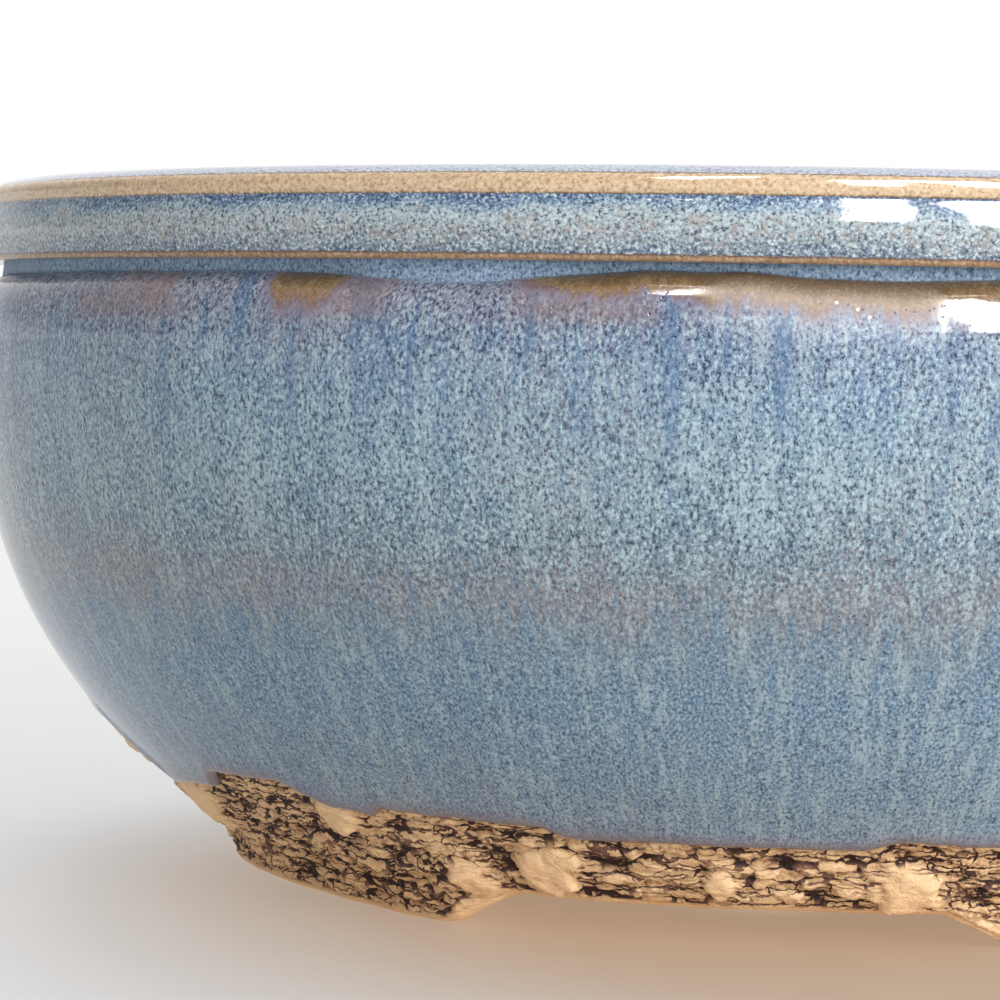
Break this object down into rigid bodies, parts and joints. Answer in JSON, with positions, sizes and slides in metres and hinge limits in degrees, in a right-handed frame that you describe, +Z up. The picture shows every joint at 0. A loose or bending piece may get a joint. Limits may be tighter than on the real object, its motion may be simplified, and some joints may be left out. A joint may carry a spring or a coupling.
{
  "type": "bonsai pot",
  "caption": "Round footed stoneware bonsai pot with a blue-glazed bulging wall, a flanged rim, a rough bare foot ring, and drain and anchor holes in its floor.",
  "frame": {"origin": "on the pot's axis, in the plane that its feet stand on", "axes": "+Z up along the pot's axis; -Y towards the front, under the middle of one arch between the feet"},
  "size_m": [0.152, 0.152, 0.06],
  "materials": {
    "bare_clay": "fired stoneware, unglazed and dry",
    "rough_clay": "bark-textured stoneware, iron oxide in the cracks",
    "blue_glaze": "glossy, streaked and speckled blue",
    "rim_glaze": "glossy speckled blue that breaks to tan on the bead"
  },
  "bodies": {
    "root": {"bowl_wall": "bare_clay", "rim_collar": "bare_clay", "floor_slab": "bare_clay", "foot_ring": "rough_clay", "foot_right": "rough_clay", "foot_back": "rough_clay", "foot_left": "rough_clay", "wall_glaze": "blue_glaze", "rim_glaze": "rim_glaze"}
  },
  "joints": []
}
